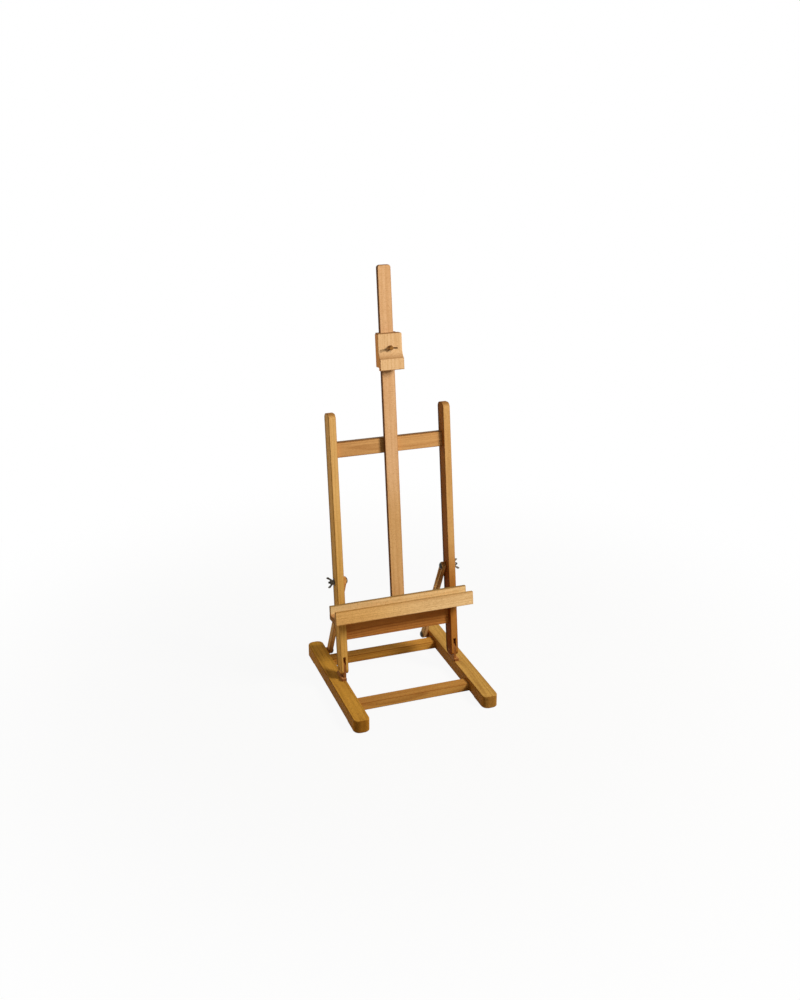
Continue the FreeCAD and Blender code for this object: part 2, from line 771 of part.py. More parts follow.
def make_struts():
    keep_pair("strut", strut())
    keep("tilt_bolts", *both_sides([lean(tilt_bolt())]))
    keep("tilt_washers", *both_sides([lean(ring) for ring in tilt_washers()]))
    keep_pair("tilt_nut", lean(tilt_nut()))


def make_clamp():
    keep("clamp_block", lean(clamp_block()))
    keep("clamp_cheeks", *both_sides([lean(clamp_cheek())]))
    keep("clamp_keeper", lean(clamp_keeper()))
    keep("clamp_keeper_screws", *keeper_screws())
    keep("clamp_insert", lean(clamp_insert()))
    keep("clamp_screw", lean(clamp_screw()))


os.makedirs("parts", exist_ok=True)
make_base()
make_panel()
make_tray()
make_struts()
make_clamp()
for name, shape in made.items():
    print(name, len(shape.Solids), "solids", round(shape.Volume / 1000, 2), "cm3", shape.isValid())
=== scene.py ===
import json
import math
import bpy
from mathutils import Matrix, Vector


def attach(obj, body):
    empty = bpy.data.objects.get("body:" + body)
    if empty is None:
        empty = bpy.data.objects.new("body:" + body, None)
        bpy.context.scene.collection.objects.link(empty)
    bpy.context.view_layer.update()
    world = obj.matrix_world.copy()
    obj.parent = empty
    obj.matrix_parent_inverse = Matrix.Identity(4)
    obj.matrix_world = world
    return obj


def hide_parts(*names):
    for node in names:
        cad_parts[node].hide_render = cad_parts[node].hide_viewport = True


# Table easel of oiled beech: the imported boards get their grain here, and the hardware its detail.
# Metres, Z up, the easel faces -Y.

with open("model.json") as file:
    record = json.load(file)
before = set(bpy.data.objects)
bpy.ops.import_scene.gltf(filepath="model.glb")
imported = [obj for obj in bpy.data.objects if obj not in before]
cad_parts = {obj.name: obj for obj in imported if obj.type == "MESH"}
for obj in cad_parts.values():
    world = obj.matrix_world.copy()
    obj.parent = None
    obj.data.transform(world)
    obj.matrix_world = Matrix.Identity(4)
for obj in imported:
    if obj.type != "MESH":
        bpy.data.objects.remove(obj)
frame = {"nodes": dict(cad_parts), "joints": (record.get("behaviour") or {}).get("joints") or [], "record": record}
nodes = frame["nodes"]
jointPlace = {joint["name"]: Vector(joint["pos_m"]) for joint in frame["joints"] if "pos_m" in joint}
jointAxis = {joint["name"]: Vector(joint["axis"]) for joint in frame["joints"]}
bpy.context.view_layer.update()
bpy.ops.object.select_all(action="DESELECT")
print("frame loaded,", len(nodes), "pieces")

acrossWay = Vector((1, 0, 0))
depthWay = Vector((0, 1, 0))
upWay = Vector((0, 0, 1))
mastWay = jointAxis["clamp_slide"].normalized()     # up along the leaning panel
panelBack = mastWay.cross(acrossWay).normalized()   # out of the panel's rear, away from the painter
strutRun = jointPlace["tilt_nut_turn_right"] - jointPlace["strut_swing_right"]
strutWay = Vector((0.0, strutRun.y, strutRun.z)).normalized()   # from the lower bolt to the bolt in the panel


# short ways to add material nodes
def linkOrSet(tree, socket, value):
    if isinstance(value, bpy.types.NodeSocket):
        tree.links.new(value, socket)
    elif value is not None:
        socket.default_value = value


def mathNode(tree, operation, first, second=None, third=None, clamped=False):
    node = tree.nodes.new("ShaderNodeMath")
    node.operation = operation
    node.use_clamp = clamped
    for socket, value in zip(node.inputs, (first, second, third)):
        linkOrSet(tree, socket, value)
    return node.outputs[0]


def vectorNode(tree, operation, first, second=None):
    node = tree.nodes.new("ShaderNodeVectorMath")
    node.operation = operation
    linkOrSet(tree, node.inputs[0], first)
    linkOrSet(tree, node.inputs[1], second)
    scalar = operation in ("LENGTH", "DOT_PRODUCT", "DISTANCE")
    return node.outputs["Value" if scalar else "Vector"]


def fadeNode(tree, value, low, high, start=0.0, end=1.0):
    node = tree.nodes.new("ShaderNodeMapRange")
    node.interpolation_type = "SMOOTHSTEP"
    linkOrSet(tree, node.inputs["Value"], value)
    for name, number in (("From Min", low), ("From Max", high), ("To Min", start), ("To Max", end)):
        linkOrSet(tree, node.inputs[name], number)
    return node.outputs["Result"]


def noiseNode(tree, place, scale, detail=2.0, roughness=0.5):
    node = tree.nodes.new("ShaderNodeTexNoise")
    linkOrSet(tree, node.inputs["Vector"], place)
    linkOrSet(tree, node.inputs["Scale"], scale)
    node.inputs["Detail"].default_value = detail
    node.inputs["Roughness"].default_value = roughness
    return node.outputs["Fac"]


def colourMix(tree, factor, first, second, blend="MIX"):
    node = tree.nodes.new("ShaderNodeMix")
    node.data_type = "RGBA"
    node.blend_type = blend
    node.clamp_result = False
    linkOrSet(tree, node.inputs["Factor"], factor)
    linkOrSet(tree, node.inputs["A"], first)
    linkOrSet(tree, node.inputs["B"], second)
    colours = [socket for socket in node.outputs if socket.type == "RGBA"]
    return colours[0]


def linearShade(colour):
    # 0-255 values, as a paint chart gives them, to the shader's linear ones
    steps = [level / 255 for level in colour]
    return [level / 12.92 if level < 0.04 else ((level + 0.055) / 1.055) ** 2.4 for level in steps] + [1.0]


# beech: growth rings round a far pith, long streaks, dark flecks, cross rays, end grain
grainLook = {
    "ringWidth": 0.0027,
    "waver": 2.6, "waverScale": (1.5, 45.0, 45.0),       # rings that a ring's line strays by, and over what length
    "wander": 0.011, "wanderScale": (2.4, 7.0, 7.0),     # how far all rings stray over a board's length
    "lateWoodStart": 0.35, "lateWoodFull": 0.9,          # shares of a ring
    "streakScale": (4.5, 150.0, 150.0), "streakShade": 0.75,
    "fineScale": (22.0, 1000.0, 1000.0), "fineShade": 0.35,
    "blotchScale": (7.0, 11.0, 11.0), "blotchShade": 0.55,
    "speckleScale": (170.0, 520.0, 520.0),
    "toneShift": -0.5,                                   # brings the sum of the shades back to the middle
    "fleckScale": (230.0, 1300.0, 1300.0), "fleckCore": 0.16, "fleckRim": 0.42, "fleckFew": 0.5, "fleckMany": 0.8,
    "fleckStain": (0.50, 0.34, 0.20, 1.0),
    "rayScale": (640.0, 120.0, 120.0), "rayLow": 0.42, "rayHigh": 0.66,
    "poreScale": 2600.0, "poreShade": 0.12,
    "endGrainStart": 0.1, "endGrainFull": 0.95, "endGrainAndShadeTone": (0.60, 0.50, 0.40, 1.0),
    "arrisWidth": 0.0022, "arrisDarkTone": (0.62, 0.50, 0.40, 1.0), "arrisPatches": 55.0,
    "turnedStart": -0.6, "turnedFull": -0.85,            # how far a side faces left before its painted shade and light show
    "rearStart": -0.1, "rearFull": -1.0,                 # shares of half the depth, from front to rear
    "roughness": {"least": 0.38, "fine": 0.16, "blotch": 0.14, "ends": 0.18, "flecks": 0.15},
    "relief": {"fine": 0.5, "pores": 0.25, "flecks": 0.7, "lateWood": 0.12},
    "bumpStrength": 0.35, "bumpDepth": 0.0003, "gloss": 0.02,
}


def buildGrainGroup(look):
    tree = bpy.data.node_groups.new("beechGrain", "ShaderNodeTree")
    sockets = (("Place", "NodeSocketVector"), ("Facing", "NodeSocketVector"), ("Half", "NodeSocketVector"),
               ("Pith", "NodeSocketVector"), ("Pale", "NodeSocketColor"), ("Deep", "NodeSocketColor"),
               ("Figure", "NodeSocketFloat"), ("Flecks", "NodeSocketFloat"), ("Rays", "NodeSocketFloat"),
               ("Left Edge Shading", "NodeSocketColor"), ("Left Face Shading", "NodeSocketColor"),
               ("Left Rear Shading", "NodeSocketColor"), ("Foot Shading", "NodeSocketColor"),
               ("Foot Start", "NodeSocketFloat"), ("Foot End", "NodeSocketFloat"),
               ("Speckle", "NodeSocketFloat"), ("Arris Dark", "NodeSocketFloat"), ("Ends", "NodeSocketFloat"))
    for name, kind in sockets:
        tree.interface.new_socket(name=name, in_out="INPUT", socket_type=kind)
    for name, kind in (("Colour", "NodeSocketColor"), ("Roughness", "NodeSocketFloat"),
                       ("Height", "NodeSocketFloat")):
        tree.interface.new_socket(name=name, in_out="OUTPUT", socket_type=kind)
    given = tree.nodes.new("NodeGroupInput").outputs
    result = tree.nodes.new("NodeGroupOutput").inputs

    def spread(place, scale):
        return vectorNode(tree, "MULTIPLY", place, scale)

    def weighed(value, weight):
        return mathNode(tree, "MULTIPLY", value, weight)

    def added(first, second):
        return mathNode(tree, "ADD", first, second)

    def paintShading(shade, shading):
        return colourMix(tree, 1.0, shade, shading, "MULTIPLY")

    # each board is cut from its own stretch of timber, set by the first number of its pith
    cutFrom = vectorNode(tree, "ADD", given["Place"], spread(given["Pith"], (1.0, 0.0, 0.0)))
    drift = tree.nodes.new("ShaderNodeTexNoise")
    tree.links.new(spread(cutFrom, look["wanderScale"]), drift.inputs["Vector"])
    drift.inputs["Scale"].default_value = 1.0
    drift.inputs["Detail"].default_value = 1.5
    swing = vectorNode(tree, "SUBTRACT", drift.outputs["Color"], (0.5, 0.5, 0.5))
    swing = vectorNode(tree, "MULTIPLY", swing, (0.0, look["wander"], look["wander"]))
    bent = vectorNode(tree, "ADD", cutFrom, swing)

    # rings: late wood darkens slowly and ends sharply
    fromPith = vectorNode(tree, "MULTIPLY", vectorNode(tree, "SUBTRACT", bent, given["Pith"]), (0.0, 1.0, 1.0))
    radius = vectorNode(tree, "LENGTH", fromPith)
    uneven = noiseNode(tree, spread(bent, look["waverScale"]), 1.0, 1.0)
    rings = added(mathNode(tree, "DIVIDE", radius, look["ringWidth"]), weighed(uneven, look["waver"]))
    phase = mathNode(tree, "FRACT", rings)
    lateWood = weighed(fadeNode(tree, phase, look["lateWoodStart"], look["lateWoodFull"]),
                       fadeNode(tree, phase, look["lateWoodFull"], 1.0, 1.0, 0.0))

    streaks = noiseNode(tree, spread(bent, look["streakScale"]), 1.0, 3.0, 0.6)
    fine = noiseNode(tree, spread(bent, look["fineScale"]), 1.0, 2.0, 0.6)
    blotch = noiseNode(tree, spread(bent, look["blotchScale"]), 1.0, 2.0)
    pores = noiseNode(tree, bent, look["poreScale"], 1.0)
    rays = noiseNode(tree, spread(bent, look["rayScale"]), 1.0, 1.0)
    rays = fadeNode(tree, rays, look["rayLow"], look["rayHigh"])

    cells = tree.nodes.new("ShaderNodeTexVoronoi")
    tree.links.new(spread(bent, look["fleckScale"]), cells.inputs["Vector"])
    cells.inputs["Scale"].default_value = 1.0
    pick = tree.nodes.new("ShaderNodeSeparateColor")
    tree.links.new(cells.outputs["Color"], pick.inputs[0])
    flecks = weighed(fadeNode(tree, cells.outputs["Distance"], look["fleckCore"], look["fleckRim"], 1.0, 0.0),
                     fadeNode(tree, pick.outputs[0], look["fleckFew"], look["fleckMany"]))
    flecks = weighed(flecks, given["Flecks"])

    along = tree.nodes.new("ShaderNodeSeparateXYZ")
    tree.links.new(given["Facing"], along.inputs[0])
    # end grain is darker; because the fade starts at a slight tilt from the grain, it also paints shade on coves and
    # rounded ends, such as the clamp block's cove
    endGrainAndCoveShade = mathNode(tree, "ABSOLUTE", along.outputs[0])
    endGrainAndCoveShade = weighed(fadeNode(tree, endGrainAndCoveShade, look["endGrainStart"], look["endGrainFull"]), given["Ends"])

    # nearness to an arris: the second smallest of the three distances to the board's faces
    depth = vectorNode(tree, "SUBTRACT", given["Half"], vectorNode(tree, "ABSOLUTE", given["Place"]))
    sides = tree.nodes.new("ShaderNodeSeparateXYZ")
    tree.links.new(depth, sides.inputs[0])
    pairs = [mathNode(tree, "MAXIMUM", sides.outputs[a], sides.outputs[b]) for a, b in ((0, 1), (1, 2), (0, 2))]
    toArris = mathNode(tree, "MINIMUM", mathNode(tree, "MINIMUM", pairs[0], pairs[1]), pairs[2])
    # the colour is darker along the arrises, in patches, scaled per board
    arris = weighed(fadeNode(tree, toArris, look["arrisWidth"] / 3, look["arrisWidth"], 1.0, 0.0),
                    fadeNode(tree, noiseNode(tree, given["Place"], look["arrisPatches"], 2.0), 0.2, 0.5, 0.5, 1.0))
    arris = weighed(arris, given["Arris Dark"])

    speckle = mathNode(tree, "SUBTRACT", noiseNode(tree, spread(bent, look["speckleScale"]), 1.0, 2.0, 0.7), 0.5)
    tone = weighed(streaks, look["streakShade"])
    for part, weight in ((fine, look["fineShade"]), (speckle, given["Speckle"]), (blotch, look["blotchShade"]),
                         (lateWood, given["Figure"])):
        tone = added(tone, weighed(part, weight))
    tone = mathNode(tree, "ADD", tone, look["toneShift"], clamped=True)
    colour = colourMix(tree, tone, given["Pale"], given["Deep"])
    colour = colourMix(tree, weighed(rays, given["Rays"]), colour, given["Deep"])
    colour = colourMix(tree, flecks, colour, look["fleckStain"], "MULTIPLY")
    colour = colourMix(tree, arris, colour, look["arrisDarkTone"], "MULTIPLY")
    ends = tree.nodes.new("ShaderNodeSeparateXYZ")
    tree.links.new(vectorNode(tree, "DIVIDE", given["Place"], given["Half"]), ends.inputs[0])
    # painted shade and light: the narrow edge and the wide face turned away along the board's across and face ways
    # (left sides, and the tops of the crossbar and tray boards) are multiplied darker or paler, the face more so at
    # its rear
    towardsRear = fadeNode(tree, ends.outputs[1], look["rearStart"], look["rearFull"])
    leftFaceShading = colourMix(tree, towardsRear, given["Left Face Shading"], given["Left Rear Shading"])
    for axis, shading in ((1, given["Left Edge Shading"]), (2, leftFaceShading)):
        turnedAway = fadeNode(tree, along.outputs[axis], look["turnedStart"], look["turnedFull"])
        colour = colourMix(tree, turnedAway, colour, paintShading(colour, shading))
    # painted shade and light towards one end: darker low on the mast and the uprights and at the tray front's left
    # end, paler at the left runner's rear
    towardsFoot = fadeNode(tree, ends.outputs[0], given["Foot Start"], given["Foot End"])
    colour = colourMix(tree, towardsFoot, colour, paintShading(colour, given["Foot Shading"]))
    colour = colourMix(tree, weighed(pores, look["poreShade"]), colour, given["Deep"])
    colour = colourMix(tree, endGrainAndCoveShade, colour, look["endGrainAndShadeTone"], "MULTIPLY")
    tree.links.new(colour, result["Colour"])

    share = look["roughness"]
    rough = added(weighed(fine, share["fine"]), weighed(blotch, share["blotch"]))
    rough = added(rough, weighed(endGrainAndCoveShade, share["ends"]))
    rough = added(rough, weighed(flecks, share["flecks"]))
    tree.links.new(mathNode(tree, "ADD", rough, share["least"], clamped=True), result["Roughness"])
    share = look["relief"]
    height = added(weighed(fine, share["fine"]), weighed(pores, share["pores"]))
    height = mathNode(tree, "SUBTRACT", height, weighed(flecks, share["flecks"]))
    height = mathNode(tree, "SUBTRACT", height, weighed(lateWood, share["lateWood"]))
    tree.links.new(height, result["Height"])
    return tree


grainGroup = buildGrainGroup(grainLook)
plainWood = (1.0, 1.0, 1.0)      # multiplier that leaves a board's own tone


def boardTurn(grainWay, faceWay):
    # columns: along the grain, across the board, out of its face
    acrossBoard = faceWay.cross(grainWay)
    return Matrix((grainWay, acrossBoard, faceWay)).transposed()


def boardSpan(piece, turn):
    back = turn.transposed()
    spots = [back @ vertex.co for vertex in piece.data.vertices]
    low = Vector([min(spot[axis] for spot in spots) for axis in range(3)])
    high = Vector([max(spot[axis] for spot in spots) for axis in range(3)])
    return turn @ ((low + high) / 2), (high - low) / 2


def woodMaterial(name, turn, middle, half, look):
    material = bpy.data.materials.new(name)
    material.use_nodes = True
    tree = material.node_tree
    shader = tree.nodes["Principled BSDF"]
    coordinates = tree.nodes.new("ShaderNodeTexCoord")
    angles = turn.to_euler("XYZ")
    turned = []
    for source, start in (("Object", middle), ("Normal", Vector((0, 0, 0)))):
        mapping = tree.nodes.new("ShaderNodeMapping")
        mapping.vector_type = "TEXTURE"
        mapping.inputs["Location"].default_value = start
        mapping.inputs["Rotation"].default_value = angles
        tree.links.new(coordinates.outputs[source], mapping.inputs["Vector"])
        turned.append(mapping.outputs["Vector"])
    grain = tree.nodes.new("ShaderNodeGroup")
    grain.node_tree = grainGroup
    tree.links.new(turned[0], grain.inputs["Place"])
    tree.links.new(turned[1], grain.inputs["Facing"])
    grain.inputs["Half"].default_value = half
    grain.inputs["Pith"].default_value = look["pith"]
    grain.inputs["Pale"].default_value = linearShade(look["pale"])
    grain.inputs["Deep"].default_value = linearShade(look["deep"])
    grain.inputs["Figure"].default_value = look.get("figure", 0.45)
    grain.inputs["Flecks"].default_value = look.get("flecks", 0.8)
    grain.inputs["Rays"].default_value = look.get("rays", 0.0)
    look = dict({"leftRearShading": look.get("leftFaceShading", plainWood)}, **look)
    for socket, key in (("Left Edge Shading", "leftEdgeShading"), ("Left Face Shading", "leftFaceShading"), ("Left Rear Shading", "leftRearShading"),
                        ("Foot Shading", "footShading")):
        grain.inputs[socket].default_value = list(look.get(key, plainWood)) + [1.0]
    footStart, footEnd = look.get("footZone", (-0.42, -0.62))      # shares of the board's half length
    grain.inputs["Foot Start"].default_value = footStart
    grain.inputs["Foot End"].default_value = footEnd
    grain.inputs["Speckle"].default_value = look.get("speckle", 0.45)
    grain.inputs["Arris Dark"].default_value = look.get("arrisDark", 1.0)
    grain.inputs["Ends"].default_value = look.get("ends", 1.0)
    tree.links.new(grain.outputs["Colour"], shader.inputs["Base Color"])
    tree.links.new(grain.outputs["Roughness"], shader.inputs["Roughness"])
    shader.inputs["Specular IOR Level"].default_value = grainLook["gloss"]
    bump = tree.nodes.new("ShaderNodeBump")
    bump.inputs["Strength"].default_value = grainLook["bumpStrength"]
    bump.inputs["Distance"].default_value = grainLook["bumpDepth"]
    tree.links.new(grain.outputs["Height"], bump.inputs["Height"])
    tree.links.new(bump.outputs["Normal"], shader.inputs["Normal"])
    return material


def dress(piece, material):
    if not piece.material_slots:
        piece.data.materials.append(material)
    for place in piece.material_slots:
        place.material = material


# Every board: which way its grain runs (way), what its wide face looks towards (face), and where it was cut.
# pith: the stretch of timber, then the tree's centre, across the board and behind its wide face.
# The left-edge, left-face, left-rear and foot multipliers paint shade and light into the tone of one edge, one face,
# its rear part and one end;
# footZone says where the last one starts and is full, in shares of half the length.
tan = {"pale": (232, 186, 130), "deep": (196, 142, 84)}
ruddy = {"pale": (206, 150, 92), "deep": (158, 100, 52)}
boardLooks = {
    "mast": dict(way=mastWay, face=panelBack, pith=(0.4, 0.015, -0.09), rays=0.3, figure=0.25,
        pale=(232, 191, 146), deep=(196, 147, 96), leftEdgeShading=(0.24, 0.15, 0.07), speckle=0.6,
        footShading=(0.90, 0.87, 0.70), footZone=(-0.1, -0.5)),
    "upright_left": dict(way=mastWay, face=acrossWay, pith=(2.1, -0.07, 0.03), figure=0.4,
        pale=(237, 193, 126), deep=(198, 149, 80), leftFaceShading=(1.40, 1.32, 1.20), leftRearShading=(0.40, 0.33, 0.20),
        footShading=(0.86, 0.80, 0.52), footZone=(0.9, -0.7)),
    "upright_right": dict(way=mastWay, face=acrossWay, pith=(3.7, 0.06, 0.05), figure=0.5,
        pale=(222, 178, 116), deep=(180, 132, 72), leftFaceShading=(0.62, 0.38, 0.17),
        leftRearShading=(0.12, 0.07, 0.03), footShading=(0.66, 0.45, 0.22), footZone=(0.0, -0.45)),
    "crossbar": dict(way=acrossWay, face=panelBack, pith=(5.2, 0.004, -0.04), figure=0.3,
        pale=(218, 170, 110), deep=(167, 114, 63), leftEdgeShading=(0.38, 0.36, 0.27)),
    "lower_rail": dict(way=acrossWay, face=panelBack, pith=(6.9, 0.01, -0.05), figure=0.5,
        pale=(217, 150, 78), deep=(164, 99, 43)),
    "tray_floor": dict(tan, way=acrossWay, face=mastWay, pith=(8.3, 0.05, -0.05)),
    "tray_back": dict(way=acrossWay, face=panelBack, pith=(9.8, 0.01, -0.06), figure=0.2, speckle=0.8,
        pale=(240, 212, 156), deep=(200, 162, 103), leftEdgeShading=(0.42, 0.38, 0.26)),
    "tray_front": dict(way=acrossWay, face=panelBack, pith=(11.4, -0.02, -0.05), figure=0.24, speckle=1.2,
        pale=(246, 212, 158), deep=(195, 151, 95), leftEdgeShading=(0.75, 0.70, 0.55), ends=0.25, arrisDark=0.6,
        footShading=(0.92, 0.78, 0.54), footZone=(0.7, -0.8)),
    "clamp_block": dict(way=mastWay, face=panelBack, pith=(12.9, 0.02, -0.06), figure=0.22, speckle=0.7,
        pale=(236, 200, 154), deep=(203, 158, 104), leftEdgeShading=(1.45, 0.98, 0.56)),
    "clamp_cheeks": dict(tan, way=mastWay, face=acrossWay, pith=(13.6, 0.02, -0.06),
        leftFaceShading=(0.40, 0.30, 0.18)),
    "clamp_keeper": dict(tan, way=acrossWay, face=panelBack, pith=(14.2, 0.02, -0.06)),
    "runner_left": dict(way=-depthWay, face=upWay, pith=(15.8, 0.01, -0.07), figure=0.3, flecks=1.1,
        pale=(216, 162, 66), deep=(152, 105, 37), speckle=0.9, leftEdgeShading=(0.97, 0.80, 0.60),
        footShading=(1.35, 1.38, 1.30), footZone=(-0.2, -0.6)),
    "runner_right": dict(way=-depthWay, face=upWay, pith=(17.5, -0.02, -0.08), figure=0.3, flecks=1.1,
        pale=(221, 176, 94), deep=(159, 115, 52), speckle=0.9, leftEdgeShading=(0.82, 0.62, 0.42)),
    "base_rail_front": dict(way=acrossWay, face=upWay, pith=(19.1, 0.05, 0.01), figure=0.4,
        pale=(205, 153, 79), deep=(154, 100, 44)),
    "base_rail_rear": dict(way=acrossWay, face=upWay, pith=(20.6, -0.06, -0.02), figure=0.4,
        pale=(220, 164, 74), deep=(168, 110, 42)),
    "hinge_block_left": dict(ruddy, way=depthWay, face=upWay, pith=(22.4, 0.02, -0.05)),
    "hinge_block_right": dict(ruddy, way=depthWay, face=upWay, pith=(23.9, 0.03, -0.05)),
    "base_dowels": dict(tan, way=acrossWay, face=upWay, pith=(25.1, 0.02, -0.03)),
    "panel_dowels": dict(tan, way=acrossWay, face=panelBack, pith=(26.7, 0.02, -0.03)),
    "hinge_pins": dict(tan, way=acrossWay, face=upWay, pith=(28.2, 0.02, -0.03)),
    "tray_dowels": dict(tan, way=mastWay, face=panelBack, pith=(29.9, 0.02, -0.03)),
    "tray_pellets": dict(way=acrossWay, face=panelBack, pith=(9.8, 0.01, -0.06), arrisDark=0.0, flecks=0.3,
        pale=(240, 212, 156), deep=(200, 162, 103)),
    "strut_spacers": dict(tan, way=depthWay, face=acrossWay, pith=(31.3, 0.02, -0.03)),
    "strut_left": dict(way=strutWay, face=acrossWay, pith=(33.2, 0.03, -0.06), figure=0.4,
        pale=(250, 203, 128), deep=(206, 145, 78)),
    "strut_right": dict(way=strutWay, face=acrossWay, pith=(34.8, -0.02, -0.07), figure=0.4,
        pale=(238, 200, 138), deep=(186, 142, 88)),
}


for name, look in boardLooks.items():
    turn = boardTurn(look["way"], look["face"])
    middle, half = boardSpan(nodes[name], turn)
    dress(nodes[name], woodMaterial("beech." + name, turn, middle, half, look))
print("beech boards finished,", len(boardLooks))


def metalMaterial(name, look):
    material = bpy.data.materials.new(name)
    material.use_nodes = True
    tree = material.node_tree
    shader = tree.nodes["Principled BSDF"]
    shader.inputs["Metallic"].default_value = look["metallic"]
    shader.inputs["Specular IOR Level"].default_value = look["gloss"]
    place = tree.nodes.new("ShaderNodeTexCoord").outputs["Object"]
    cloud = noiseNode(tree, place, look["cloudScale"], 3.0, 0.6)
    grit = noiseNode(tree, place, look["gritScale"], 2.0)
    tarnish = fadeNode(tree, cloud, look["tarnishStart"], look["tarnishFull"])
    colour = colourMix(tree, tarnish, linearShade(look["clean"]), linearShade(look["dull"]))
    tree.links.new(colour, shader.inputs["Base Color"])
    rough = mathNode(tree, "ADD", mathNode(tree, "MULTIPLY", tarnish, look["dullRoughness"]),
                     mathNode(tree, "MULTIPLY", grit, look["gritRoughness"]))
    tree.links.new(mathNode(tree, "ADD", rough, look["roughness"]), shader.inputs["Roughness"])
    bump = tree.nodes.new("ShaderNodeBump")
    bump.inputs["Strength"].default_value = look["texture"]
    bump.inputs["Distance"].default_value = look["bumpDepth"]
    tree.links.new(grit, bump.inputs["Height"])
    tree.links.new(bump.outputs["Normal"], shader.inputs["Normal"])
    return material


oiledMetal = {"gloss": 0.3, "gritScale": 2400.0, "gritRoughness": 0.12, "bumpDepth": 0.0002, "dullRoughness": 0.18,
              "tarnishStart": 0.35, "tarnishFull": 0.7}
metalLooks = {
    "castSteel": dict(oiledMetal, clean=(112, 108, 98), dull=(66, 62, 55), roughness=0.34, metallic=0.35,
        cloudScale=260.0, texture=0.30),
    "darkSteel": dict(oiledMetal, clean=(66, 64, 52), dull=(40, 38, 30), roughness=0.40, metallic=0.35,
        cloudScale=260.0, texture=0.30),
    "washerSteel": dict(oiledMetal, clean=(104, 94, 78), dull=(70, 61, 48), roughness=0.36, metallic=0.35,
        cloudScale=420.0, texture=0.20, gritScale=2600.0),
    "brass": dict(oiledMetal, clean=(146, 98, 36), dull=(78, 48, 16), roughness=0.30, metallic=0.5,
        cloudScale=300.0, texture=0.15),
}
metals = {name: metalMaterial(name, look) for name, look in metalLooks.items()}
print("metals finished")


# each piece of hardware is modelled upright at the origin, then set in its place
smoothAngle = math.radians(36)
wingLook = {
    "baseRadius": 0.0060, "topRadius": 0.0046, "height": 0.0090, "rim": 0.0006, "bore": 0.0032,
    "rootLength": 0.0008, "rootThickness": 0.0041, "tipThickness": 0.0036,
    # distance from the axis, then the wing's lower and upper edge there
    "outline": ((0.0030, 0.0012, 0.0080), (0.0056, 0.0020, 0.0092), (0.0078, 0.0042, 0.0122),
                (0.0096, 0.0068, 0.0156), (0.0116, 0.0084, 0.0166), (0.0136, 0.0104, 0.0156)),
    "rounding": 3, "voxel": 0.00032, "easing": 6,
    "tipShare": 0.93,       # of the furthest reach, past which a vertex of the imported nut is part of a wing's tip
}
boltLook = {"radius": 0.0030, "ridge": 0.0005, "pitch": 0.0010, "threadDepth": 0.00045, "turnSteps": 22,
            "headRadius": 0.0065, "headHeight": 0.0028, "headRim": 0.0004, "domeSteps": 6, "domeTop": 0.04,
            "tip": 0.0006, "tipTaper": 0.75}
boltSets = {
    "tiltBolts": {"node": "tilt_bolts", "joint": "tilt_nut_turn_", "plain": 0.0298, "threaded": 0.0142},
    "pivotBolts": {"node": "strut_pivot_bolts", "joint": "strut_swing_", "plain": 0.0200, "threaded": 0.0218},
}
washerLook = {"baseRadius": 0.0080, "topRadius": 0.0080, "height": 0.0012, "rim": 0.00025, "bore": 0.0032}
washerSets = {
    "tiltWashers": {"node": "tilt_washers", "joint": "tilt_nut_turn_right"},
    "pivotWashers": {"node": "strut_pivot_washers", "joint": "strut_swing_right"},
}
woodScrewLook = {"ridge": 0.0007, "pitch": 0.0013, "threadDepth": 0.0006, "turnSteps": 16,
                 "plainShare": 0.3, "pointLength": 2.0, "pointTip": 0.06,
                 "slotWidth": 0.26, "slotLength": 1.15, "slotDepth": 0.42, "slotTaper": 0.5}
screwSets = {
    "mastScrews": {"node": "mast_screws", "radius": 0.0020, "headRadius": 0.0040, "way": panelBack,
                   "slant": 0.6},
    "trayScrews": {"node": "tray_screws", "radius": 0.0020, "headRadius": 0.0040, "way": -panelBack,
                   "slant": 0.6},
    "keeperScrews": {"node": "clamp_keeper_screws", "radius": 0.0015, "headRadius": 0.0030,
                     "way": panelBack, "slant": 0.6},
}
clampScrewLook = {"wingTop": 0.0160, "plain": 0.0030, "inHub": 0.0020, "tipGap": 0.0010, "threadGap": 0.0030}
insertLook = {"baseRadius": 0.0050, "topRadius": 0.0050, "height": 0.0130, "rim": 0.0004, "bore": 0.0032}


def pickFaces(piece, wanted):
    # leaves the piece in edit mode with only the wanted faces selected
    if bpy.context.mode != "OBJECT":
        bpy.ops.object.mode_set(mode="OBJECT")
    bpy.ops.object.select_all(action="DESELECT")
    piece.select_set(True)
    bpy.context.view_layer.objects.active = piece
    bpy.ops.object.mode_set(mode="EDIT")
    bpy.ops.mesh.select_mode(type="FACE")
    bpy.ops.mesh.select_all(action="DESELECT")
    bpy.ops.object.mode_set(mode="OBJECT")
    for face in piece.data.polygons:
        face.select = bool(wanted(face.center, face.normal))
    bpy.ops.object.mode_set(mode="EDIT")


def pushOut(middle, step, grow=(1.0, 1.0, 1.0)):
    # extrudes the selected face and resizes it about its own new middle
    bpy.ops.mesh.extrude_region_move(TRANSFORM_OT_translate={"value": step, "orient_type": "GLOBAL"})
    centre = Vector(middle) + Vector(step)
    bpy.ops.transform.resize(value=grow, center_override=centre)
    return centre


def settle():
    bpy.ops.object.mode_set(mode="OBJECT")
    bpy.ops.object.transform_apply(location=True, rotation=True, scale=True)
    return bpy.context.object


def selectOnly(pieces):
    bpy.ops.object.select_all(action="DESELECT")
    for piece in pieces:
        piece.select_set(True)
    bpy.context.view_layer.objects.active = pieces[0]


def applyModifiers(piece):
    selectOnly([piece])
    for modifier in list(piece.modifiers):
        bpy.ops.object.modifier_apply(modifier=modifier.name)


